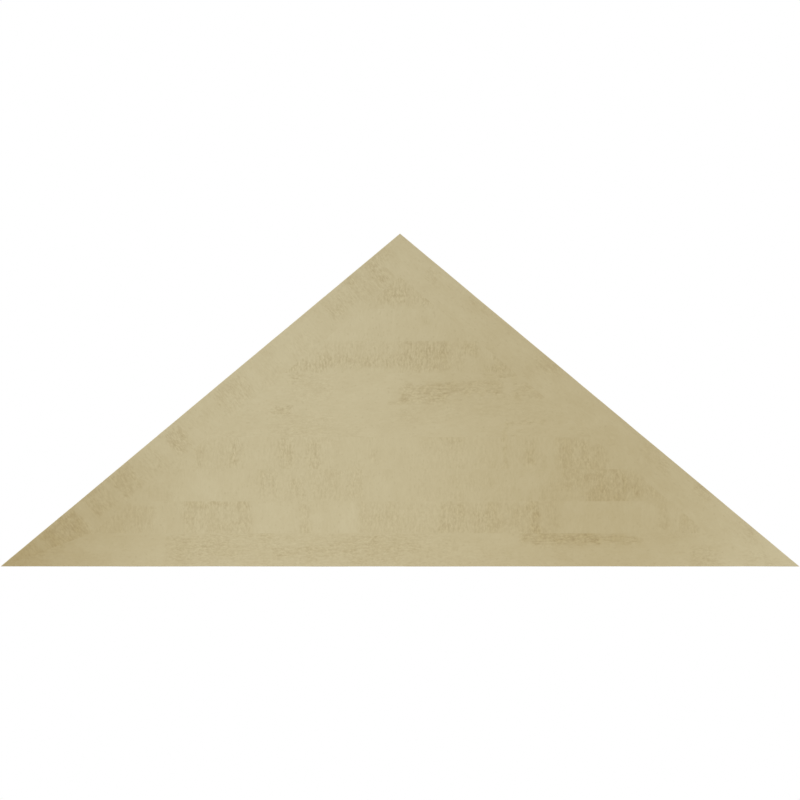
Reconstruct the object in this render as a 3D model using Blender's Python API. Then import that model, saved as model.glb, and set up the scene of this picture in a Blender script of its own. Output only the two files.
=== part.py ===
"""Gable vent: a closed triangular vent with a flat back, made of boards.

Three frame boards are mitred into a triangle of roof pitch. Eight level slats fill
it. The back of every board lies in one plane, y = 0. On the weather side the frame
boards are moulded, and each slat slopes out to a thick lower edge that laps over
the next slat, as bevelled boards with a rabbet do.

+X runs along the sill, +Y from the flat back to the weather side, +Z to the apex.
The origin is the centre of the sill's back face.
"""

import math

import bmesh
import bpy
from mathutils import Matrix, Vector

# Driving dimensions, in metres
WIDTH = 1.2192  # along the underside of the sill
PITCH = 10 / 12  # rise over run of the two upper edges

FRAME_WIDTH = 0.0508  # back face of a frame board, across the board
FRAME_DEPTH = 0.0508  # flat back to weather side
BAND_WIDTH = 0.0200  # flat outer band of the moulding
QUIRK_DEPTH = 0.0030  # step from the band down to the ogee
LIP_WIDTH = 0.0050  # flat lip beside the slats
LIP_SETBACK = 0.0108  # from the band's face back to the lip's face
OGEE_STEPS = 10

SLAT_COUNT = 8
SLAT_TOP_THICKNESS = 0.0080
SLAT_SETBACK = 0.0040  # from the lip's face back to a slat's thick edge
SLAT_LAP = 0.0090  # how far a slat hangs down over the next one
LAP_CLEARANCE = 0.0005  # between a slat's rabbet and the slope under it

JOINT_GAP = 0.0003  # between two boards that meet
WELD_DISTANCE = 0.00001

# Colours, as linear values
FRAME_COLOUR = (0.520, 0.443, 0.268)
SLAT_COLOUR = (0.530, 0.455, 0.282)
ROUGHNESS = 0.8

# What follows from the driving dimensions
SLOPE = math.atan(PITCH)
APEX_ANGLE = math.pi - 2 * SLOPE
BASE_Z = -FRAME_WIDTH / 2
APEX_Z = BASE_Z + WIDTH / 2 * PITCH
RAKE_LENGTH = WIDTH / 2 / math.cos(SLOPE)
OPENING_BASE_Z = BASE_Z + FRAME_WIDTH
OPENING_APEX_Z = APEX_Z - FRAME_WIDTH / math.cos(SLOPE)
SLAT_HEIGHT = (OPENING_APEX_Z - OPENING_BASE_Z) / SLAT_COUNT
LIP_DEPTH = FRAME_DEPTH - LIP_SETBACK
SLAT_BUTT_THICKNESS = LIP_DEPTH - SLAT_SETBACK
SLAT_FALL = (SLAT_BUTT_THICKNESS - SLAT_TOP_THICKNESS) / (SLAT_HEIGHT + SLAT_LAP)


def frame_outline():
    """Section of a frame board: x from its outer edge inwards, y from the back."""
    ogee_top = FRAME_DEPTH - QUIRK_DEPTH
    ogee_width = FRAME_WIDTH - BAND_WIDTH - LIP_WIDTH
    ogee = []
    for step in range(OGEE_STEPS + 1):
        share = step / OGEE_STEPS
        fall = (1 - math.cos(math.pi * share)) / 2
        ogee.append((BAND_WIDTH + share * ogee_width, ogee_top - fall * (ogee_top - LIP_DEPTH)))
    band = [(0, 0), (0, FRAME_DEPTH), (BAND_WIDTH, FRAME_DEPTH)]
    lip = [(FRAME_WIDTH, LIP_DEPTH), (FRAME_WIDTH, 0)]
    return band + ogee + lip


def slat_outline(laps_over_next):
    """Section of a slat: x from the back, y up from the foot of its back face."""
    top = SLAT_HEIGHT - JOINT_GAP / 2

    def front_at(height):
        return SLAT_TOP_THICKNESS + (SLAT_HEIGHT - height) * SLAT_FALL

    if laps_over_next:
        foot = JOINT_GAP / 2
        rabbet_back = SLAT_TOP_THICKNESS + LAP_CLEARANCE
        rabbet_front = rabbet_back + SLAT_LAP * SLAT_FALL
        lower_edge = [
            (front_at(-SLAT_LAP), -SLAT_LAP),
            (rabbet_front, -SLAT_LAP),
            (rabbet_back, foot),
        ]
    else:
        foot = JOINT_GAP
        lower_edge = [(front_at(foot), foot)]
    return [(0, foot), (0, top), (front_at(top), top), *lower_edge]


def extruded(name, outline, length):
    """A mesh of the outline, extruded along Z and centred on it."""
    curve = bpy.data.curves.new(name, "CURVE")
    curve.dimensions = "2D"
    curve.fill_mode = "BOTH"
    curve.extrude = length / 2
    spline = curve.splines.new("POLY")
    spline.points.add(len(outline) - 1)
    for point, (x, y) in zip(spline.points, outline):
        point.co = (x, y, 0, 1)
    spline.use_cyclic_u = True

    guide = bpy.data.objects.new(name + "_outline", curve)
    bpy.context.scene.collection.objects.link(guide)
    evaluated = guide.evaluated_get(bpy.context.evaluated_depsgraph_get())
    mesh = bpy.data.meshes.new_from_object(evaluated)
    bpy.data.objects.remove(guide)
    bpy.data.curves.remove(curve)
    mesh.name = name
    return mesh


def saw(mesh, cuts):
    """Cut off what lies beyond each plane, and close the sawn ends."""
    bm = bmesh.new()
    bm.from_mesh(mesh)
    bmesh.ops.remove_doubles(bm, verts=bm.verts, dist=WELD_DISTANCE)
    for point, normal in cuts:
        everything = [*bm.verts, *bm.edges, *bm.faces]
        cut = bmesh.ops.bisect_plane(
            bm, geom=everything, plane_co=point, plane_no=normal, clear_outer=True
        )
        rim = [item for item in cut["geom_cut"] if isinstance(item, bmesh.types.BMEdge)]
        bmesh.ops.holes_fill(bm, edges=rim)
    bmesh.ops.recalc_face_normals(bm, faces=bm.faces)
    bm.to_mesh(mesh)
    bm.free()


def finish(name, colour):
    """A matt primed finish for one board."""
    material = bpy.data.materials.new(name + "_finish")
    material.use_nodes = True
    shader = material.node_tree.nodes["Principled BSDF"]
    shader.inputs["Base Color"].default_value = (*colour, 1)
    shader.inputs["Roughness"].default_value = ROUGHNESS
    shader.inputs["Metallic"].default_value = 0
    return material


def board(name, outline, length, cuts, place, colour, collection, parent):
    """One board: its section extruded, sawn to shape, placed and painted."""
    mesh = extruded(name, outline, length)
    saw(mesh, cuts)
    mesh.materials.append(finish(name, colour))
    piece = bpy.data.objects.new(name, mesh)
    piece.parent = parent
    piece.matrix_world = place
    collection.objects.link(piece)


def frame_board(name, length, ends, middle, inward, collection, parent):
    """A moulded board with a mitre at each end.

    length is that of its outer edge, and middle is the middle of that edge. inward
    points from it to the inside of the frame. ends holds, for each end, the angle of
    the frame's corner and how far the mitre stays back from the corner's centre line.
    """
    cuts = []
    for end, (corner, gap) in zip((-1, 1), ends):
        normal = Vector((math.cos(corner / 2), 0, end * math.sin(corner / 2)))
        tip = Vector((0, 0, end * length / 2))
        cuts.append((tip - normal * gap, normal))
    blank_length = length + FRAME_WIDTH
    depth = Vector((0, 1, 0))
    turn = Matrix((inward, depth, inward.cross(depth))).transposed().to_4x4()
    place = Matrix.Translation(middle) @ turn
    board(name, frame_outline(), blank_length, cuts, place, FRAME_COLOUR, collection, parent)


def slat(name, row, collection, parent):
    """The slat in a row counted from 0 at the top, its ends cut to the rakes."""
    foot_z = OPENING_APEX_Z - (row + 1) * SLAT_HEIGHT
    is_lowest = row == SLAT_COUNT - 1
    lowest_z = foot_z - SLAT_LAP
    cuts = []
    for end in (-1, 1):
        normal = Vector((0, math.cos(SLOPE), end * math.sin(SLOPE)))
        opening_apex = Vector((0, OPENING_APEX_Z - foot_z, 0))
        cuts.append((opening_apex - normal * JOINT_GAP, normal))
    length = 2 * (OPENING_APEX_Z - lowest_z) / PITCH
    along, depth, up = Vector((1, 0, 0)), Vector((0, 1, 0)), Vector((0, 0, 1))
    turn = Matrix((depth, up, along)).transposed().to_4x4()
    place = Matrix.Translation((0, 0, foot_z)) @ turn
    outline = slat_outline(laps_over_next=not is_lowest)
    board(name, outline, length, cuts, place, SLAT_COLOUR, collection, parent)


def build_frame(collection, parent):
    """The sill, cut to the true lower corners, and the two rakes that meet it."""
    rake_middle_z = (BASE_Z + APEX_Z) / 2
    sill_end = (SLOPE, 0)
    rake_foot = (SLOPE, JOINT_GAP)
    rake_head = (APEX_ANGLE, JOINT_GAP / 2)
    frame_board(
        "sill", WIDTH, (sill_end, sill_end),
        Vector((0, 0, BASE_Z)), Vector((0, 0, 1)),
        collection, parent,
    )
    frame_board(
        "left_rake", RAKE_LENGTH, (rake_foot, rake_head),
        Vector((-WIDTH / 4, 0, rake_middle_z)),
        Vector((math.sin(SLOPE), 0, -math.cos(SLOPE))),
        collection, parent,
    )
    frame_board(
        "right_rake", RAKE_LENGTH, (rake_head, rake_foot),
        Vector((WIDTH / 4, 0, rake_middle_z)),
        Vector((-math.sin(SLOPE), 0, -math.cos(SLOPE))),
        collection, parent,
    )


def build_slats(collection, parent):
    """The slats, numbered from the apex down."""
    for row in range(SLAT_COUNT):
        slat(f"slat_{row + 1}", row, collection, parent)


def main():
    for item in list(bpy.data.objects):
        bpy.data.objects.remove(item)

    collection = bpy.data.collections.new("gable_vent")
    bpy.context.scene.collection.children.link(collection)
    vent = bpy.data.objects.new("gable_vent", None)
    collection.objects.link(vent)

    build_frame(collection, vent)
    build_slats(collection, vent)


main()
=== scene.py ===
"""Gable vent: its boards in detail, their primer, and the studio that they stand in.

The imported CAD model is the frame. Each board is made again on the CAD's own section
and joint lines, with eased edges and a sawn grain, and stands for the CAD node that
has its name.

+X runs along the sill, +Y from the flat back to the weather side, +Z to the apex.
The origin is the centre of the sill's back face.
"""

import math

import bmesh
import bpy
from bpy.props import FloatProperty, FloatVectorProperty, IntProperty, PointerProperty
from mathutils import Matrix, Vector, noise


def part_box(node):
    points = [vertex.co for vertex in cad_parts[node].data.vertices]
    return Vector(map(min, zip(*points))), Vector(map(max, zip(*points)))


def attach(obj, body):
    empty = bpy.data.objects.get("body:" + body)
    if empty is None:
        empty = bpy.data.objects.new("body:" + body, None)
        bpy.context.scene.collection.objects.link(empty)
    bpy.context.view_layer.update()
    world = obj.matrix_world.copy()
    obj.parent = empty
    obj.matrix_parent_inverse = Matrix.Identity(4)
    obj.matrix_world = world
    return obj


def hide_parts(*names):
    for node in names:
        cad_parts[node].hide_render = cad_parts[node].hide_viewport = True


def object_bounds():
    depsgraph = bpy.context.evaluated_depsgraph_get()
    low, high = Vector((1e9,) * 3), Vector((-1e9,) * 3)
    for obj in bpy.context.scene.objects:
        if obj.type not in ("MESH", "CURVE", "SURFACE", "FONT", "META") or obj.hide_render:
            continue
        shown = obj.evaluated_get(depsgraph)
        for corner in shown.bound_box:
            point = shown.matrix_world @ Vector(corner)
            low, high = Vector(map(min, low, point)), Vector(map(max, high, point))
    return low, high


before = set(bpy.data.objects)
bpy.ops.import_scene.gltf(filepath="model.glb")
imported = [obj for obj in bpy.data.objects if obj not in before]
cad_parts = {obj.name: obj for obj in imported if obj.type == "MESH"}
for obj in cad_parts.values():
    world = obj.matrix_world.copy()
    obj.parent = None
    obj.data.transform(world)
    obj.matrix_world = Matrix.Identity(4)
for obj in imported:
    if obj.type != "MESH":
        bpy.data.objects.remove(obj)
CAD_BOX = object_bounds()
SILL_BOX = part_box("sill")

bl_info = {
    "name": "Gable Vent",
    "version": (1, 0, 0),
    "blender": (4, 5, 0),
    "location": "View3D > Sidebar > Gable Vent",
    "description": "Makes the boards of a triangular gable vent, their primer and a studio",
    "category": "Object",
}

CENTIMETRE = 0.01
BACK_TOLERANCE = 0.00001  # a vertex this near to the plane y = 0 is on the back
CUT_TOLERANCE = 0.00002  # a vertex this near to a saw cut counts as on it
SHARP_ANGLE = math.radians(25)  # a bend from this angle up is shaded as an edge
ARRIS_SEGMENTS = 2
SEED_STEP = 0.53  # metres between the places where two boards read the same noise

# Noises of the grain that is cut into the boards: length along a board and across it
CLOUDS = (0.045, 0.020)  # faint roughness between the patches
SAW_MARKS = (0.014, 0.0040)
GRAIN_BENDS = (0.16, 0.05)
WIDE_GRAIN = (0.085, 0.0046)
FINE_GRAIN = (0.030, 0.0024)
CLOUD_OFFSET = 5  # sets the clouds apart from the patches' own noise
SAW_MARK_SPREAD = 7  # sets the boards' saw marks further apart in the noise

# How deep the grain is cut, as shares of its full depth: the mean, and what each adds
GROOVE_MEAN = 0.5
SAW_MARK_SHARE = 0.5
WIDE_GRAIN_SHARE = 0.45
FINE_GRAIN_SHARE = 0.2
GRAIN_BEND = 0.004  # how far a line of the weather side's grain wanders, in metres

# The back's roughness: how far a patch varies inside itself, and what the clouds add
PATCH_UNEVENNESS = 0.6
CLOUD_ROUGHNESS = 0.45

# The weather side's roughness and shade: the mean, the swing and the noise's lengths
WEATHER_ROUGH_MEAN = 0.3
WEATHER_ROUGH_SWING = 0.7
WEATHER_ROUGH_LEVEL = 0.09
WEATHER_ROUGH_UPRIGHT = 0.03
WEATHER_SHADE_MEAN = 0.25
WEATHER_SHADE_SWING = 0.3
WEATHER_SHADE_LENGTH = 0.35

# Painted shade in the grain: how much darker the colour is in the full depth of a groove than
# on the ridges
BACK_GROOVE_PAINTED_SHADE = 0.12
WEATHER_GROOVE_PAINTED_SHADE = 0.45

# Marks in the primer: length along a streak and across it
DASH_SIZE = (0.016, 0.0026)
MOTTLE_SIZE = (0.040, 0.026)
PORE_SIZE = (0.0050, 0.0034)
FIBRE_SHARE = 0.5  # size of a fibre as a share of a streak's

# The value of a mark's noise where it starts to show, and where it shows in full
STREAKS_SHOW = (0.30, 0.72)
DASHES_SHOW = (0.35, 0.70)
PORES_SHOW = (0.66, 0.82)

# About the mean of a noise and of two marks, taken off so that the tone stays as it is
NOISE_MEAN = 0.5
STREAK_MEAN = 0.38
DASH_MEAN = 0.42

# How strong each mark is: everywhere, and what a full roughness adds
STREAK_MARKS = (0.04, 0.25)
DASH_MARKS = (0.015, 0.11)
FIBRE_MARKS = (0.02, 0.26)
PORE_MARKS = 0.10

# How the tone goes from the pale primer, at 0, to the dark one, at 1
TONE_OFFSET = 0.15  # taken off the shade
ROUGH_TONE = 0.26
SMOOTH_TONE = 0.18
MOTTLE_TONE = 0.60

# The primer's finest relief and its sheen
FIBRE_HEIGHT = 0.6
STREAK_HEIGHT = 0.5
BUMP_DISTANCE = 0.00003
STREAK_ROUGHNESS = 0.08
PRIMER_SPECULAR = 0.25

# Sockets of a Mix node that mixes colours
MIX_SHARE = 0
MIX_FIRST = 6
MIX_SECOND = 7
MIX_COLOUR = 2

# The lamps: the direction that each shines in, and how wide it is in degrees
LAMPS = {
    "front_light": ((0.35, 0.80, -0.50), 25),
    "weather_light": ((-0.45, -0.65, -0.62), 18),
    "top_light": ((0.05, -0.03, -1.0), 40),
}
FLOOR_COLOUR = (0.75, 0.75, 0.75)
FLOOR_ROUGHNESS = 0.9
FLOOR_SPECULAR = 0.1
SENSOR_WIDTH = 36  # millimetres
FAR_CLIP = 200  # metres

# Patches on the back where the sawn grain is rougher and darker, or, with a strength
# below 0, smoother and paler. They are noted one by one. Each is where it starts and ends
# along its board, left to right in centimetres from the board's middle, where it starts
# and ends across it, as shares from the lower or outer edge, and its strength. A patch
# with a share below 0 or above 1 reaches that edge of the board without fading out.
PATCHES = {
    "left_rake": (
        (32.5, 36.7, 0, 0.35, 0.75),
        (32.4, 34.8, 0.5, 0.85, 0.7),
        (28.4, 30.2, 0.05, 0.35, 0.7),
        (28, 34, 0.3, 1, 0.3),
        (23.6, 27.8, 0.15, 0.8, 0.6),
        (15, 19.4, 0.4, 0.95, 0.25),
        (2, 7.3, 0.1, 0.9, 0.6),
        (-8, -5, 0.15, 0.9, 1),
        (-18.3, -14.7, 0.05, 0.85, 0.8),
        (-14.5, -10, 0.2, 0.9, 0.3),
        (-23.6, -19.8, 0, 0.75, 0.65),
        (-32, -25.4, 0.05, 0.95, 1.15),
        (-39.7, -33.2, 0, 0.5, 0.75),
    ),
    "right_rake": (
        (-38.5, -33.3, 0.1, 0.8, -0.4),
        (-33, -30.8, 0.2, 0.6, 0.6),
        (-25, -21.2, 0, 0.3, 0.4),
        (-11, -7, 0, 0.45, 0.35),
        (13.3, 15.1, 0.1, 0.5, 0.55),
        (19.6, 22.4, 0, 0.35, 0.7),
        (29.7, 32.3, 0.05, 0.55, 0.35),
    ),
    "slat_1": (
        (-3.7, 4.9, 0.1, 0.95, 0.65),
        (-2, 0.8, 0.2, 0.75, 0.4),
        (3.9, 5.3, 0.05, 0.3, 0.4),
    ),
    "slat_2": (
        (-13.7, 13.7, 0, 1, -0.3),
        (3.5, 4.7, 0.5, 0.7, 0.6),
    ),
    "slat_3": (
        (-12, 0, 0.53, 1, 0.3),
        (-12, 0, 0.16, 0.53, 0.75),
        (0, 7.2, 0.06, 1, 0.95),
        (7.2, 9.6, 0.1, 1, 0.4),
        (9.6, 11.7, 0.55, 1, 0.8),
        (14.5, 16.3, 0.15, 0.55, 0.8),
        (13, 17.5, 0, 0.25, 0.7),
        (-17.3, -12, 0, 0.35, 0.75),
    ),
    "slat_4": (
        (-17.2, -14.5, 0.7, 1, 0.5),
        (-17, -10.5, 0.2, 1, 0.25),
        (-7.6, 0, 0.15, 1, -0.35),
        (0, 6.9, 0.78, 1, -0.3),
        (0, 7.2, 0.1, 0.64, 0.85),
        (0, 22, 0, 0.4, 0.2),
        (7, 15.8, 0.34, 0.74, 0.85),
        (12.8, 17.6, 0.84, 0.97, 0.7),
        (17.2, 21.6, 0.25, 0.7, 0.45),
        (-1.8, 0, 0, 0.1, 0.5),
    ),
    "slat_5": (
        (-19.3, -16.4, 0.75, 1, 0.9),
        (-20, -10, 0, 0.8, 0.3),
        (0, 20, 0.5, 1, 0.15),
        (16, 22, 0.41, 0.48, 0.6),
        (16.8, 19.5, 0.17, 0.24, 0.55),
        (17, 19, 0, 0.07, 0.6),
        (15.7, 16.3, -0.1, 0.45, 0.8),
    ),
    "slat_6": (
        (-31.4, -29.9, 0.1, 0.65, 0.4),
        (-31, -23.5, 0, 1, 0.25),
        (-25.9, -24.8, 0.1, 0.9, 0.5),
        (-21, -9, 0, 1, 0.2),
        (-18.4, -16.3, 0, 1, 0.6),
        (-14.2, -12.2, 0, 0.9, 0.6),
        (-4.6, -3.4, 0.2, 0.65, 0.5),
        (3, 22, 0, 1, 0.15),
        (7.3, 9.8, 0.3, 1, 0.25),
        (15.7, 16.3, 0, 1.1, 0.6),
        (19, 20.6, 0.1, 0.9, 0.6),
        (23.8, 28.8, -0.2, 0.97, 0.8),
        (28.8, 31.7, -0.2, 0.75, 0.6),
    ),
    "slat_7": (
        (-32.2, -27.6, 0, 0.7, -0.5),
        (-22, -5.5, 0, 1, 0.2),
        (-21.3, -18.9, 0.2, 1, 0.35),
        (-17, -14.5, 0.2, 0.7, 0.45),
        (-13.6, -9.1, 0.05, 1, 0.2),
        (-8.1, -5.8, 0.15, 1, 0.35),
        (3, 24.5, 0, 1, 0.2),
        (17.5, 21, 0.15, 0.8, -0.3),
        (21, 24.5, 0, 0.6, 0.25),
        (24.8, 28.5, 0.4, 1.2, 0.7),
        (24.8, 28.5, 0.05, 0.4, 0.35),
        (28.5, 34.6, 0, 1.1, 1),
        (34.6, 36.6, 0.15, 0.65, 0.5),
        (35, 41.5, 0.4, 1, 0.45),
        (35.3, 39, 0.12, 0.45, 0.6),
        (39, 43, 0, 0.5, 0.35),
    ),
    "slat_8": (
        (-46.5, -42.4, 0, 0.6, 0.5),
        (-42.4, -37.6, 0, 0.9, 0.45),
        (-32.9, -23, 0, 1, 0.5),
        (-32.9, -23, 0.84, 1, 0.4),
        (-24.6, -22.4, 0, 1, 0.35),
        (-22.2, -16.6, 0, 0.95, -0.6),
        (-15.1, -13.7, 0, 1, 0.5),
        (-13.4, -11.6, 0, 0.6, -0.5),
        (-10.8, -6.6, 0, 0.9, -0.6),
        (-6.6, 0, 0, 0.95, 0.45),
        (0, 5.8, 0, 0.95, 0.3),
        (5.8, 19.5, 0, 0.95, 0.4),
        (5.8, 10, 0, 0.95, 0.45),
        (11.7, 14.8, 0, 0.95, 0.45),
        (17, 19.5, 0.1, 0.9, 0.3),
        (21.9, 24.3, 0, 0.95, 0.4),
        (19.7, 21.5, -0.2, 1, 1.5),
        (24.5, 38.9, 0, 0.95, -0.35),
        (39.3, 41.1, 0.2, 0.95, 0.45),
        (42.4, 45.4, 0, 0.6, 0.6),
    ),
    "sill": (
        (-61, -54, 0, 1, 0.4),
        (-56.5, -51, 0.3, 0.85, 0.4),
        (-51.2, -39.2, 0.45, 0.8, -0.35),
        (-34.5, 0, 0.05, 1, 0.35),
        (-35.7, -25.9, 0.35, 0.9, 0.45),
        (-36, -32.9, 0.05, 0.35, 0.4),
        (-30, -19, 0.9, 1, 0.45),
        (-19.4, -10.8, 0.3, 0.6, 0.55),
        (-10.8, -6.6, 0.35, 0.65, 0.4),
        (-8, 0, 0.1, 0.9, 0.3),
        (-5, -3.4, 0.65, 0.9, 0.6),
        (0, 8, 0, 1, 0.3),
        (0, 3, 0.4, 1, 0.3),
        (8, 17, 0, 0.6, 0.2),
        (18.3, 21, 0.69, 1.15, 0.9),
        (21, 30.3, 0.69, 1.15, 1.45),
        (30.3, 34.3, 0.69, 1, 1),
        (34.3, 37, 0.7, 0.88, 0.9),
        (20, 28, 0.55, 0.69, 0.3),
        (31.9, 43.9, 0.05, 0.6, -0.3),
        (44.3, 48.6, 0.05, 0.65, 0.5),
        (52.4, 58.4, 0.05, 0.6, 0.4),
    ),
}

# Where the back is broadly darker over several boards, partly the primer's own uneven tone and
# partly painted light: a paler painted highlight left of the middle and painted shade towards
# the right. Each is the middle, from the centre line and above the sill's underside, how far
# it spreads each way, in centimetres, and how dark it is. Below 0 it is paler.
BROAD_TONE_AND_PAINTED_LIGHT = (
    (30, 18, 16, 40, 0.5),
    (33, 8, 15, 9, 0.18),
    (10, 30, 6, 6, 0.15),
    (-62, 0, 9.5, 9, 1.0),
    (-48, 6, 9, 12, 0.35),
    (-44, 11, 6, 6, 0.2),
    (-15, 2, 28, 3, 0.03),
    (-16, 33, 9, 6, -0.15),
    (-15, 21, 12, 4, -0.08),
    (45, 3, 12, 5, 0.15),
    (-4, 2, 5, 4, 0.1),
    (57, 2, 8, 6, -0.3),
)

# The boards whose streaks run along them on the back. On the others they run across.
STREAKS_ALONG = ("sill", "right_rake", "slat_4", "slat_5")


class VentSizes(bpy.types.PropertyGroup):
    """Sizes of the vent, which are those of the CAD model."""

    width: FloatProperty(
        name="Width",
        description="Length of the sill's underside",
        default=CAD_BOX[1].x - CAD_BOX[0].x,
        unit="LENGTH",
    )
    pitch: FloatProperty(
        name="Pitch",
        description="Rise over run of the two upper edges",
        default=10 / 12,
    )
    frame_width: FloatProperty(
        name="Frame width",
        description="Back face of a frame board, across the board",
        default=SILL_BOX[1].z - SILL_BOX[0].z,
        unit="LENGTH",
    )
    frame_depth: FloatProperty(
        name="Frame depth",
        description="Flat back to weather side",
        default=CAD_BOX[1].y - CAD_BOX[0].y,
        unit="LENGTH",
    )
    band_width: FloatProperty(
        name="Band width",
        description="Flat outer band of the moulding",
        default=0.0200,
        unit="LENGTH",
    )
    quirk_depth: FloatProperty(
        name="Quirk depth",
        description="Step from the band down to the ogee",
        default=0.0030,
        unit="LENGTH",
    )
    lip_width: FloatProperty(
        name="Lip width",
        description="Flat lip beside the slats",
        default=0.0050,
        unit="LENGTH",
    )
    lip_setback: FloatProperty(
        name="Lip setback",
        description="From the band's face back to the lip's face",
        default=0.0108,
        unit="LENGTH",
    )
    ogee_steps: IntProperty(
        name="Ogee steps",
        description="Flats that make the ogee's curve",
        default=20,
    )
    slat_count: IntProperty(
        name="Slats",
        description="Number of slats between the frame boards",
        default=8,
    )
    slat_top_thickness: FloatProperty(
        name="Slat top thickness",
        description="Thickness of a slat at its upper edge",
        default=0.0080,
        unit="LENGTH",
    )
    slat_setback: FloatProperty(
        name="Slat setback",
        description="From the lip's face back to a slat's thick edge",
        default=0.0040,
        unit="LENGTH",
    )
    slat_lap: FloatProperty(
        name="Slat lap",
        description="How far a slat hangs down over the next one",
        default=0.0090,
        unit="LENGTH",
    )
    lap_clearance: FloatProperty(
        name="Lap clearance",
        description="Between a slat's rabbet and the slope under it",
        default=0.0005,
        unit="LENGTH",
    )
    tip_trim: FloatProperty(
        name="Tip trim",
        description="What is taken off the top slat's point",
        default=0.0001,
        unit="LENGTH",
        precision=5,
    )


class VentGrain(bpy.types.PropertyGroup):
    """Eased edges and the relief of the grain."""

    arris: FloatProperty(
        name="Arris",
        description="Width of the eased edges",
        default=0.0009,
        unit="LENGTH",
        precision=4,
    )
    spacing_along: FloatProperty(
        name="Spacing along",
        description="Distance between vertices along a board",
        default=0.0025,
        unit="LENGTH",
        precision=4,
    )
    spacing_across: FloatProperty(
        name="Spacing across",
        description="Distance between vertices across a board",
        default=0.0018,
        unit="LENGTH",
        precision=4,
    )
    weather_depth: FloatProperty(
        name="Weather side grain",
        description="Depth of the grain on the weather side and the edges",
        default=0.0005,
        unit="LENGTH",
        precision=5,
    )
    weather_stretch: FloatProperty(
        name="Weather side stretch",
        description="How much longer the streaks are on the weather side than on the back",
        default=5,
    )
    back_depth: FloatProperty(
        name="Back grain",
        description="Depth of the saw marks on the back",
        default=0.00004,
        unit="LENGTH",
        precision=5,
    )
    patch_blur: FloatProperty(
        name="Patch blur",
        description="Width over which a rough patch fades out",
        default=0.010,
        unit="LENGTH",
        precision=4,
    )
    patch_grain: FloatProperty(
        name="Patch grain",
        description="Distance over which a patch is now denser and now thinner",
        default=0.011,
        unit="LENGTH",
        precision=4,
    )
    patch_wander: FloatProperty(
        name="Patch wander",
        description="How far a patch's edge wanders",
        default=0.005,
        unit="LENGTH",
        precision=4,
    )
    patch_wave: FloatProperty(
        name="Patch wave",
        description="Distance over which a patch's edge wanders",
        default=0.008,
        unit="LENGTH",
        precision=4,
    )


class VentPaint(bpy.types.PropertyGroup):
    """Colours and sheen of the primer."""

    # The tone runs from the pale primer to the dark one. On the back it also carries a painted
    # highlight and painted shade.
    pale: FloatVectorProperty(
        name="Pale primer",
        description="Primer where it lies thick",
        subtype="COLOR",
        default=(0.576, 0.496, 0.302),
        min=0,
        max=1,
    )
    dark: FloatVectorProperty(
        name="Dark primer",
        description="Primer where it lies thin over the grain",
        subtype="COLOR",
        default=(0.470, 0.380, 0.200),
        min=0,
        max=1,
    )
    # Colour that the grain's marks go towards: partly the grain's own colour, partly painted
    # shade in its streaks and pores
    grain_and_pit_shade: FloatVectorProperty(
        name="Recess",
        description="Primer in the marks and pores of the grain",
        subtype="COLOR",
        default=(0.300, 0.212, 0.100),
        min=0,
        max=1,
    )
    roughness: FloatProperty(
        name="Roughness",
        description="Roughness of the matt primer",
        default=0.78,
        min=0,
        max=1,
        subtype="FACTOR",
    )
    streak_length: FloatProperty(
        name="Streak length",
        description="Usual length of a streak of the grain",
        default=0.0072,
        unit="LENGTH",
        precision=4,
    )
    streak_width: FloatProperty(
        name="Streak width",
        description="Usual width of a streak of the grain",
        default=0.0036,
        unit="LENGTH",
        precision=4,
    )


class VentStage(bpy.types.PropertyGroup):
    """The studio: camera, light and floor."""

    lens: FloatProperty(
        name="Lens",
        description="Focal length of the camera, for a sensor 36 mm wide",
        default=100,
        subtype="DISTANCE_CAMERA",
    )
    surround: FloatProperty(
        name="Surround",
        description="Brightness of the white surround as a light",
        default=0.35,
    )
    front_light: FloatProperty(
        name="Front light",
        description="Strength of the soft light on the back face",
        default=1.88,
    )
    weather_light: FloatProperty(
        name="Weather side light",
        description="Strength of the soft light on the weather side",
        default=2.3,
    )
    top_light: FloatProperty(
        name="Top light",
        description="Strength of the soft light from above",
        default=0.6,
    )
    floor_drop: FloatProperty(
        name="Floor drop",
        description="From the sill's underside down to the floor",
        default=0.62,
        unit="LENGTH",
    )
    floor_radius: FloatProperty(
        name="Floor radius",
        description="Where the pale floor has faded into the white surround",
        default=1.5,
        unit="LENGTH",
    )


class Lines:
    """The setting out that follows from the sizes."""

    def __init__(self, sizes):
        self.slope = math.atan(sizes.pitch)
        self.apex_angle = math.pi - 2 * self.slope
        self.base = -sizes.frame_width / 2
        self.apex = self.base + sizes.width / 2 * sizes.pitch
        self.rake_length = sizes.width / 2 / math.cos(self.slope)
        self.opening_base = self.base + sizes.frame_width
        self.opening_apex = self.apex - sizes.frame_width / math.cos(self.slope)
        opening_height = self.opening_apex - self.opening_base
        self.slat_height = opening_height / sizes.slat_count
        self.lip_depth = sizes.frame_depth - sizes.lip_setback
        self.slat_butt = self.lip_depth - sizes.slat_setback
        slat_rise = self.slat_height + sizes.slat_lap
        self.slat_fall = (self.slat_butt - sizes.slat_top_thickness) / slat_rise


def frame_section(sizes, lines):
    """Corners of a frame board as (from its outer edge, from the back, eased or not)."""
    ogee_top = sizes.frame_depth - sizes.quirk_depth
    ogee_width = sizes.frame_width - sizes.band_width - sizes.lip_width
    section = [
        (0, 0, True),
        (0, sizes.frame_depth, True),
        (sizes.band_width, sizes.frame_depth, True),
    ]
    for step in range(sizes.ogee_steps + 1):
        share = step / sizes.ogee_steps
        fall = (1 - math.cos(math.pi * share)) / 2 * (ogee_top - lines.lip_depth)
        section.append((sizes.band_width + share * ogee_width, ogee_top - fall, False))
    section.append((sizes.frame_width, lines.lip_depth, True))
    section.append((sizes.frame_width, 0, False))
    return section


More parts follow.
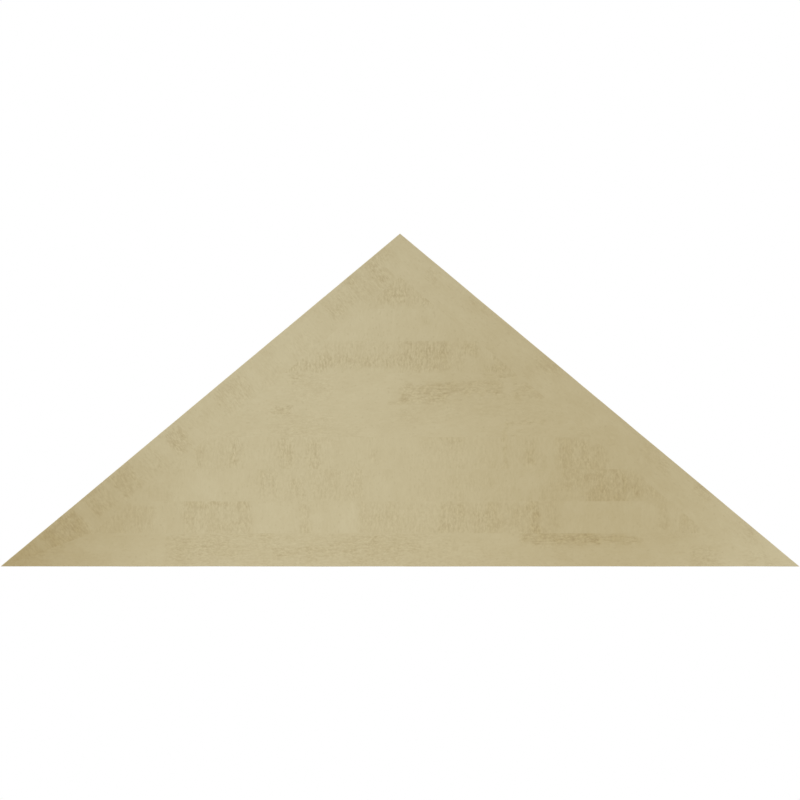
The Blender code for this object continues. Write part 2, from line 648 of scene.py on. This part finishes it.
def slat_section(sizes, lines, row):
    """Corners of a slat as (above its foot, from the back, eased or not)."""
    top = lines.slat_height - (sizes.tip_trim if row == 0 else 0)

    def front_at(height):
        return sizes.slat_top_thickness + (lines.slat_height - height) * lines.slat_fall

    section = [(0, 0, False), (top, 0, False), (top, front_at(top), False)]
    if row == sizes.slat_count - 1:
        section.append((0, front_at(0), True))
    else:
        rabbet = sizes.slat_top_thickness + sizes.lap_clearance
        drip = -sizes.slat_lap
        section.append((drip, front_at(drip), True))
        section.append((drip, rabbet + sizes.slat_lap * lines.slat_fall, True))
        section.append((0, rabbet, False))
    return section


def shell(section, length, grain):
    """The section run along Z as an open tube, its edges eased, in a fine grid."""
    bm = bmesh.new()
    corners = [bm.verts.new((across, depth, -length / 2)) for across, depth, _ in section]
    rim = [bm.edges.new(pair) for pair in zip(corners, corners[1:] + corners[:1])]
    run = bmesh.ops.extrude_edge_only(bm, edges=rim)
    far = [item for item in run["geom"] if isinstance(item, bmesh.types.BMVert)]
    bmesh.ops.translate(bm, verts=far, vec=(0, 0, length))
    eased = []
    for corner, (_, _, is_eased) in zip(corners, section):
        if is_eased:
            eased += [edge for edge in corner.link_edges if edge not in rim]
    bmesh.ops.bevel(
        bm,
        geom=eased,
        offset=grain.arris,
        segments=ARRIS_SEGMENTS,
        profile=0.5,
        affect="EDGES",
        material=-1,
    )
    for face in list(bm.faces):
        ends = [edge for edge in face.edges if edge.is_boundary]
        cuts = round(ends[0].calc_length() / grain.spacing_across) - 1
        if cuts > 0:
            bmesh.ops.subdivide_edges(bm, edges=ends, cuts=cuts)
    along = [edge for edge in bm.edges if not edge.is_boundary]
    cuts = round(length / grain.spacing_along) - 1
    bmesh.ops.subdivide_edges(bm, edges=along, cuts=cuts)
    bmesh.ops.recalc_face_normals(bm, faces=bm.faces)
    return bm


def saw(bm, cuts):
    """Take off what lies beyond each plane."""
    for point, normal in cuts:
        bmesh.ops.bisect_plane(
            bm,
            geom=[*bm.verts, *bm.edges, *bm.faces],
            dist=CUT_TOLERANCE,
            plane_co=point,
            plane_no=normal,
            clear_outer=True,
        )


def eased_step(value):
    """0 below 0, 1 above 1 and a smooth rise between."""
    value = min(max(value, 0), 1)
    return value * value * (3 - 2 * value)


def grain_noise(lengths, along, across, depth, seed):
    """Noise from -1 to 1, of one length along the board and another across it."""
    long, narrow = lengths
    return noise.noise(Vector((along / long, across / narrow, depth / narrow + seed)))


class Surface:
    """What the primer and the grain do at each point of one board."""

    def __init__(self, name, number, rightward, height, lines, grain):
        self.patches = PATCHES[name]
        self.seed = number * SEED_STEP
        self.rightward = rightward
        self.height = height
        self.streaks_along = name in STREAKS_ALONG
        self.base = lines.base
        self.grain = grain

    def streak_place(self, point, is_back):
        """Where a point of the board is, along the streaks first."""
        across, depth, along = point
        if not is_back:
            return Vector((along / self.grain.weather_stretch, across, depth + self.seed))
        if self.streaks_along:
            return Vector((along, across, depth + self.seed))
        return Vector((across, along, depth + self.seed))

    def roughened(self, point):
        """How rough and dark the grain is at a point of the back, from the patches."""
        across, _, along = point
        spot = Vector((along, across, self.seed)) / self.grain.patch_wave
        across += self.grain.patch_wander * noise.noise(spot)
        right = along * self.rightward + self.grain.patch_wander * noise.noise(-spot)
        total = 0
        for start, end, low, high, strength in self.patches:
            start, end = start * CENTIMETRE, end * CENTIMETRE
            low, high = low * self.height, high * self.height
            inside = min(right - start, end - right, across - low, high - across)
            blur = min(self.grain.patch_blur, end - start, high - low)
            total += strength * eased_step(0.5 + inside / blur)
        uneven = noise.noise(Vector((along, across, -self.seed)) / self.grain.patch_grain)
        cloud = grain_noise(CLOUDS, along, across, 0, self.seed + CLOUD_OFFSET)
        return total * (1 + PATCH_UNEVENNESS * uneven) + CLOUD_ROUGHNESS * max(cloud, 0)

    def weather_roughened(self, place):
        """How rough and dark the grain is at a place on the weather side or an edge."""
        spot = Vector(
            (place.x / WEATHER_ROUGH_LEVEL, self.seed, place.z / WEATHER_ROUGH_UPRIGHT)
        )
        return WEATHER_ROUGH_MEAN + WEATHER_ROUGH_SWING * noise.noise(spot)

    def shade(self, place):
        """How much darker a place on the back is, broadly: uneven primer and painted light."""
        total = 0
        for right, height, wide, tall, strength in BROAD_TONE_AND_PAINTED_LIGHT:
            x = (place.x / CENTIMETRE - right) / wide
            z = ((place.z - self.base) / CENTIMETRE - height) / tall
            total += strength * math.exp(-(x * x + z * z) / 2)
        return total

    def weather_groove(self, point):
        """Share of the full grain depth, on the weather side and the edges."""
        across, depth, along = point
        across += GRAIN_BEND * grain_noise(GRAIN_BENDS, along, across, 0, self.seed)
        wide = grain_noise(WIDE_GRAIN, along, across, depth, self.seed)
        fine = grain_noise(FINE_GRAIN, along, across, depth, -self.seed)
        return max(GROOVE_MEAN + WIDE_GRAIN_SHARE * wide + FINE_GRAIN_SHARE * fine, 0)

    def back_groove(self, streak_place):
        """Share of the full depth of the saw marks, on the back."""
        along, across, seed = streak_place
        marks = grain_noise(SAW_MARKS, along, across, 0, seed * SAW_MARK_SPREAD)
        return GROOVE_MEAN + SAW_MARK_SHARE * marks


def carve(bm, place, surface):
    """Cut the grain into the shell, and note on it what the primer needs to know."""
    streaks = bm.verts.layers.float_vector.new("streaks")
    rough = bm.verts.layers.float.new("rough")
    shade = bm.verts.layers.float.new("shade")
    groove = bm.verts.layers.float.new("groove")
    grain = surface.grain
    bm.normal_update()
    for vert in bm.verts:
        point = vert.co.copy()
        where = place @ point
        is_back = point.y < BACK_TOLERANCE
        streak_place = surface.streak_place(point, is_back)
        vert[streaks] = streak_place
        if is_back:
            cut = surface.back_groove(streak_place)
            vert[rough] = surface.roughened(point)
            # Broad tone of the back, partly painted highlight and painted shade
            vert[shade] = surface.shade(where)
            # Painted shade: darker where the saw marks are cut deeper, paler on their ridges
            vert[groove] = BACK_GROOVE_PAINTED_SHADE * (cut - GROOVE_MEAN)
            vert.co.y += cut * grain.back_depth
        else:
            cut = surface.weather_groove(point)
            uneven = noise.noise(where / WEATHER_SHADE_LENGTH)
            vert[rough] = surface.weather_roughened(where)
            vert[shade] = WEATHER_SHADE_MEAN + WEATHER_SHADE_SWING * uneven
            # Painted shade: darker where the grain is cut deeper, paler on its ridges
            vert[groove] = WEATHER_GROOVE_PAINTED_SHADE * (cut - GROOVE_MEAN)
            vert.co -= vert.normal * (cut * grain.weather_depth)


def close(bm):
    """Fill the sawn ends, turn all faces outwards and mark the sharp edges."""
    rims = [edge for edge in bm.edges if edge.is_boundary]
    bmesh.ops.holes_fill(bm, edges=rims)
    bmesh.ops.recalc_face_normals(bm, faces=bm.faces)
    for face in bm.faces:
        face.smooth = True
    for edge in bm.edges:
        edge.smooth = edge.calc_face_angle(math.pi) < SHARP_ANGLE


def make_board(name, number, section, length, cuts, middle, inward, slot):
    """One board in place of the CAD node with its name.

    middle is the middle of its outer or lower edge, and inward points from it across the
    board. number sets its grain apart from that of the others.
    """
    scene = bpy.context.scene
    depth = Vector((0, 1, 0))
    run = inward.cross(depth)
    place = Matrix.Translation(middle) @ Matrix((inward, depth, run)).transposed().to_4x4()
    rightward = 1 if run.x > 0 else -1
    height = max(across for across, _, _ in section)
    lines = Lines(scene.vent_sizes)
    surface = Surface(name, number, rightward, height, lines, scene.vent_grain)
    bm = shell(section, length, scene.vent_grain)
    carve(bm, place, surface)
    saw(bm, cuts)
    close(bm)
    bmesh.ops.transform(bm, matrix=place, verts=bm.verts)
    mesh = bpy.data.meshes.new(name + "_board")
    bm.to_mesh(mesh)
    bm.free()
    mesh.materials.append(primer(slot))
    piece = bpy.data.objects.new(name + "_board", mesh)
    scene.collection.objects.link(piece)
    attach(piece, "root")
    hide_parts(name)


def mitred(name, number, length, corners, middle, inward):
    """A frame board between two corners of the frame, each given by its angle."""
    scene = bpy.context.scene
    sizes, lines = scene.vent_sizes, Lines(scene.vent_sizes)
    cuts = []
    for end, corner in zip((-1, 1), corners):
        normal = Vector((math.cos(corner / 2), 0, end * math.sin(corner / 2)))
        cuts.append((Vector((0, 0, end * length / 2)), normal))
    section = frame_section(sizes, lines)
    make_board(name, number, section, length, cuts, middle, inward, "frame_boards")


class Shading:
    """A shader socket: sums on it add Math nodes, and node() adds any other node."""

    def __init__(self, socket):
        self.socket = socket

    def node(self, kind, settings, sockets, output=0):
        """A new node, its settings made first, then its sockets set or linked."""
        tree = self.socket.id_data
        made = tree.nodes.new(kind)
        for name, value in settings.items():
            setattr(made, name, value)
        for name, value in sockets.items():
            if isinstance(value, Shading):
                tree.links.new(value.socket, made.inputs[name])
            else:
                made.inputs[name].default_value = value
        return Shading(made.outputs[output])

    def math(self, operation, first, second):
        """A Math node on two values."""
        return self.node("ShaderNodeMath", {"operation": operation}, {0: first, 1: second})

    def __add__(self, other):
        return self.math("ADD", self, other)

    def __radd__(self, other):
        return self.math("ADD", other, self)

    def __sub__(self, other):
        return self.math("SUBTRACT", self, other)

    def __rsub__(self, other):
        return self.math("SUBTRACT", other, self)

    def __mul__(self, other):
        return self.math("MULTIPLY", self, other)

    def __rmul__(self, other):
        return self.math("MULTIPLY", other, self)

    def noise(self, place, size, detail, roughness=0.5):
        """Noise at a place, of one length along the streaks and another across them."""
        long, thin = size
        factors = (1 / long, 1 / thin, 1 / thin)
        scaled = self.node(
            "ShaderNodeVectorMath", {"operation": "MULTIPLY"}, {0: place, 1: factors}
        )
        return self.node(
            "ShaderNodeTexNoise",
            {"noise_dimensions": "3D"},
            {"Vector": scaled, "Scale": 1.0, "Detail": detail, "Roughness": roughness},
        )

    def smooth_from(self, low, high):
        """A smooth rise from 0 at low to 1 at high, which may be numbers or sockets."""
        return self.node(
            "ShaderNodeMapRange",
            {"interpolation_type": "SMOOTHSTEP"},
            {"Value": self, "From Min": low, "From Max": high, "To Min": 0.0, "To Max": 1.0},
        )

    def mixed(self, first, second):
        """One colour going over into another by this share, which may pass 0 and 1."""
        return self.node(
            "ShaderNodeMix",
            {"data_type": "RGBA", "clamp_factor": False},
            {MIX_SHARE: self, MIX_FIRST: first, MIX_SECOND: second},
            MIX_COLOUR,
        )


def primer(slot):
    """The primer of a slot, made once."""
    name = slot + "_primer"
    if name in bpy.data.materials:
        return bpy.data.materials[name]
    paint = bpy.context.scene.vent_paint
    material = bpy.data.materials.new(name)
    material.use_nodes = True
    shader = material.node_tree.nodes["Principled BSDF"]
    start = Shading(shader.inputs["Base Color"])

    def attribute(name, output):
        return start.node("ShaderNodeAttribute", {"attribute_name": name}, {}, output)

    place = attribute("streaks", "Vector")
    rough = attribute("rough", "Fac")
    shade = attribute("shade", "Fac")
    groove = attribute("groove", "Fac")
    roughened = rough.math("MAXIMUM", rough, 0.0)
    smoothed = rough.math("MAXIMUM", 0.0 - rough, 0.0)

    streak_size = (paint.streak_length, paint.streak_width)
    fibre_size = tuple(FIBRE_SHARE * length for length in streak_size)
    streak = start.noise(place, streak_size, detail=2.0, roughness=0.7)
    dash = start.noise(place, DASH_SIZE, detail=1.0)
    fibre = start.noise(place, fibre_size, detail=1.0)
    mottle = start.noise(place, MOTTLE_SIZE, detail=3.0, roughness=0.7)
    pore = start.noise(place, PORE_SIZE, detail=0.0)
    streaks = streak.smooth_from(*STREAKS_SHOW)
    dashes = dash.smooth_from(*DASHES_SHOW)
    pores = pore.smooth_from(*PORES_SHOW)

    def strength(everywhere, where_rough):
        return everywhere + where_rough * roughened

    # The tone takes in the back's broad painted highlight and painted shade.
    tone = shade - TONE_OFFSET + ROUGH_TONE * roughened - SMOOTH_TONE * smoothed
    # The grooves' painted shade darkens the tone where the grain is cut deepest.
    tone = tone + MOTTLE_TONE * (mottle - NOISE_MEAN) + groove
    # The marks darken streaks, dashes, fibres and pores: partly the grain's colour, partly
    # painted shade in these pits.
    marks = strength(*STREAK_MARKS) * (streaks - STREAK_MEAN)
    marks = marks + strength(*DASH_MARKS) * (dashes - DASH_MEAN)
    marks = marks + strength(*FIBRE_MARKS) * (fibre - NOISE_MEAN) + PORE_MARKS * pores
    colour = tone.mixed((*paint.pale, 1), (*paint.dark, 1))
    colour = marks.mixed(colour, (*paint.grain_and_pit_shade, 1))
    height = FIBRE_HEIGHT * fibre - STREAK_HEIGHT * streaks
    bump = start.node(
        "ShaderNodeBump", {}, {"Strength": 1.0, "Distance": BUMP_DISTANCE, "Height": height}
    )
    sheen = paint.roughness + STREAK_ROUGHNESS * streaks

    links = material.node_tree.links
    links.new(colour.socket, shader.inputs["Base Color"])
    links.new(sheen.socket, shader.inputs["Roughness"])
    links.new(bump.socket, shader.inputs["Normal"])
    shader.inputs["Specular IOR Level"].default_value = PRIMER_SPECULAR
    return material


def white_surround(stage):
    """A world that the camera sees as white and that lights the boards more faintly."""
    world = bpy.data.worlds.new("surround")
    world.use_nodes = True
    bpy.context.scene.world = world
    background = world.node_tree.nodes["Background"]
    start = Shading(background.inputs["Strength"])
    seen = start.node("ShaderNodeLightPath", {}, {}, "Is Camera Ray")
    strength = stage.surround + (1 - stage.surround) * seen
    world.node_tree.links.new(strength.socket, background.inputs["Strength"])
    background.inputs["Color"].default_value = (1, 1, 1, 1)


def hang_lamp(name, energy, towards, spread):
    """A soft distant lamp that shines in one direction."""
    light = bpy.data.lights.new(name, "SUN")
    light.energy = energy
    light.angle = math.radians(spread)
    lamp = bpy.data.objects.new(name, light)
    lamp.rotation_euler = Vector(towards).to_track_quat("-Z", "Y").to_euler()
    bpy.context.scene.collection.objects.link(lamp)


def floor_paint(radius):
    """A pale matt paint that has faded out at this radius."""
    material = bpy.data.materials.new("pale_floor")
    material.use_nodes = True
    shader = material.node_tree.nodes["Principled BSDF"]
    shader.inputs["Base Color"].default_value = (*FLOOR_COLOUR, 1)
    shader.inputs["Roughness"].default_value = FLOOR_ROUGHNESS
    shader.inputs["Specular IOR Level"].default_value = FLOOR_SPECULAR
    opacity = Shading(shader.inputs["Alpha"])
    place = opacity.node("ShaderNodeTexCoord", {}, {}, "Object")
    level = opacity.node(
        "ShaderNodeVectorMath", {"operation": "MULTIPLY"}, {0: place, 1: (1, 1, 0)}
    )
    away = opacity.node("ShaderNodeVectorMath", {"operation": "LENGTH"}, {0: level}, "Value")
    fade = away.smooth_from(radius, radius / 2)
    material.node_tree.links.new(fade.socket, shader.inputs["Alpha"])
    return material


def lay_floor(radius, height):
    """A level floor at this height."""
    bm = bmesh.new()
    bmesh.ops.create_grid(bm, x_segments=1, y_segments=1, size=radius)
    bmesh.ops.translate(bm, verts=bm.verts, vec=(0, 0, height))
    mesh = bpy.data.meshes.new("floor")
    bm.to_mesh(mesh)
    bm.free()
    mesh.materials.append(floor_paint(radius))
    floor = bpy.data.objects.new("floor", mesh)
    bpy.context.scene.collection.objects.link(floor)


def set_camera(lens, width, height):
    """A camera square on to the back, with this width of it across the picture."""
    scene = bpy.context.scene
    camera = bpy.data.cameras.new("camera")
    camera.lens = lens
    camera.sensor_width = SENSOR_WIDTH
    camera.clip_end = FAR_CLIP
    distance = width * lens / camera.sensor_width
    view = bpy.data.objects.new("camera", camera)
    view.location = (0, -distance, height)
    view.rotation_euler = (math.radians(90), 0, 0)
    scene.collection.objects.link(view)
    scene.camera = view


class GABLEVENT_OT_sill(bpy.types.Operator):
    """Make the level board along the bottom"""

    bl_idname = "gable_vent.sill"
    bl_label = "Sill"

    def execute(self, context):
        sizes = context.scene.vent_sizes
        lines = Lines(sizes)
        middle = Vector((0, 0, lines.base))
        corners = (lines.slope, lines.slope)
        mitred("sill", 0, sizes.width, corners, middle, Vector((0, 0, 1)))
        return {"FINISHED"}


class GABLEVENT_OT_rakes(bpy.types.Operator):
    """Make the two boards up the slopes"""

    bl_idname = "gable_vent.rakes"
    bl_label = "Rakes"

    def execute(self, context):
        sizes = context.scene.vent_sizes
        lines = Lines(sizes)
        height = (lines.base + lines.apex) / 2
        sine, cosine = math.sin(lines.slope), math.cos(lines.slope)
        mitred(
            "left_rake", 1, lines.rake_length, (lines.slope, lines.apex_angle),
            Vector((-sizes.width / 4, 0, height)), Vector((sine, 0, -cosine)),
        )
        mitred(
            "right_rake", 2, lines.rake_length, (lines.apex_angle, lines.slope),
            Vector((sizes.width / 4, 0, height)), Vector((-sine, 0, -cosine)),
        )
        return {"FINISHED"}


class GABLEVENT_OT_slats(bpy.types.Operator):
    """Make the slats, numbered from the apex down"""

    bl_idname = "gable_vent.slats"
    bl_label = "Slats"

    def execute(self, context):
        sizes = context.scene.vent_sizes
        lines = Lines(sizes)
        sine, cosine = math.sin(lines.slope), math.cos(lines.slope)
        for row in range(sizes.slat_count):
            foot = lines.opening_apex - (row + 1) * lines.slat_height
            rise = lines.opening_apex - foot
            cuts = [(Vector((rise, 0, 0)), Vector((cosine, 0, end * sine))) for end in (-1, 1)]
            length = 2 * (rise + sizes.slat_lap) / sizes.pitch
            make_board(
                f"slat_{row + 1}", row + 3, slat_section(sizes, lines, row), length, cuts,
                Vector((0, 0, foot)), Vector((0, 0, 1)), "slats",
            )
        return {"FINISHED"}


class GABLEVENT_OT_stage(bpy.types.Operator):
    """Make the white surround, the lights, the floor and the camera"""

    bl_idname = "gable_vent.stage"
    bl_label = "Stage"

    def execute(self, context):
        scene = context.scene
        stage = scene.vent_stage
        lines = Lines(scene.vent_sizes)
        scene.view_settings.view_transform = "Standard"
        white_surround(stage)
        for name, (towards, spread) in LAMPS.items():
            hang_lamp(name, getattr(stage, name), towards, spread)
        lay_floor(stage.floor_radius, lines.base - stage.floor_drop)
        set_camera(stage.lens, scene.vent_sizes.width, (lines.base + lines.apex) / 2)
        return {"FINISHED"}


class GABLEVENT_PT_panel(bpy.types.Panel):
    """The vent's boards and stage, with their sizes and colours"""

    bl_idname = "GABLEVENT_PT_panel"
    bl_label = "Gable Vent"
    bl_space_type = "VIEW_3D"
    bl_region_type = "UI"
    bl_category = "Gable Vent"

    def draw(self, context):
        layout = self.layout
        for operator in OPERATORS:
            layout.operator(operator.bl_idname)
        for name in GROUPS:
            group = getattr(context.scene, name)
            box = layout.box()
            for size in group.bl_rna.properties:
                if size.identifier not in ("rna_type", "name"):
                    box.prop(group, size.identifier)


GROUPS = {
    "vent_sizes": VentSizes,
    "vent_grain": VentGrain,
    "vent_paint": VentPaint,
    "vent_stage": VentStage,
}
OPERATORS = (
    GABLEVENT_OT_sill,
    GABLEVENT_OT_rakes,
    GABLEVENT_OT_slats,
    GABLEVENT_OT_stage,
)


def register():
    for name, group in GROUPS.items():
        bpy.utils.register_class(group)
        setattr(bpy.types.Scene, name, PointerProperty(type=group))
    for operator in OPERATORS:
        bpy.utils.register_class(operator)
    bpy.utils.register_class(GABLEVENT_PT_panel)


def unregister():
    bpy.utils.unregister_class(GABLEVENT_PT_panel)
    for operator in reversed(OPERATORS):
        bpy.utils.unregister_class(operator)
    for name, group in reversed(GROUPS.items()):
        delattr(bpy.types.Scene, name)
        bpy.utils.unregister_class(group)


def main():
    register()
    bpy.ops.gable_vent.sill()
    bpy.ops.gable_vent.rakes()
    bpy.ops.gable_vent.slats()
    bpy.ops.gable_vent.stage()


if __name__ == "__main__":
    main()
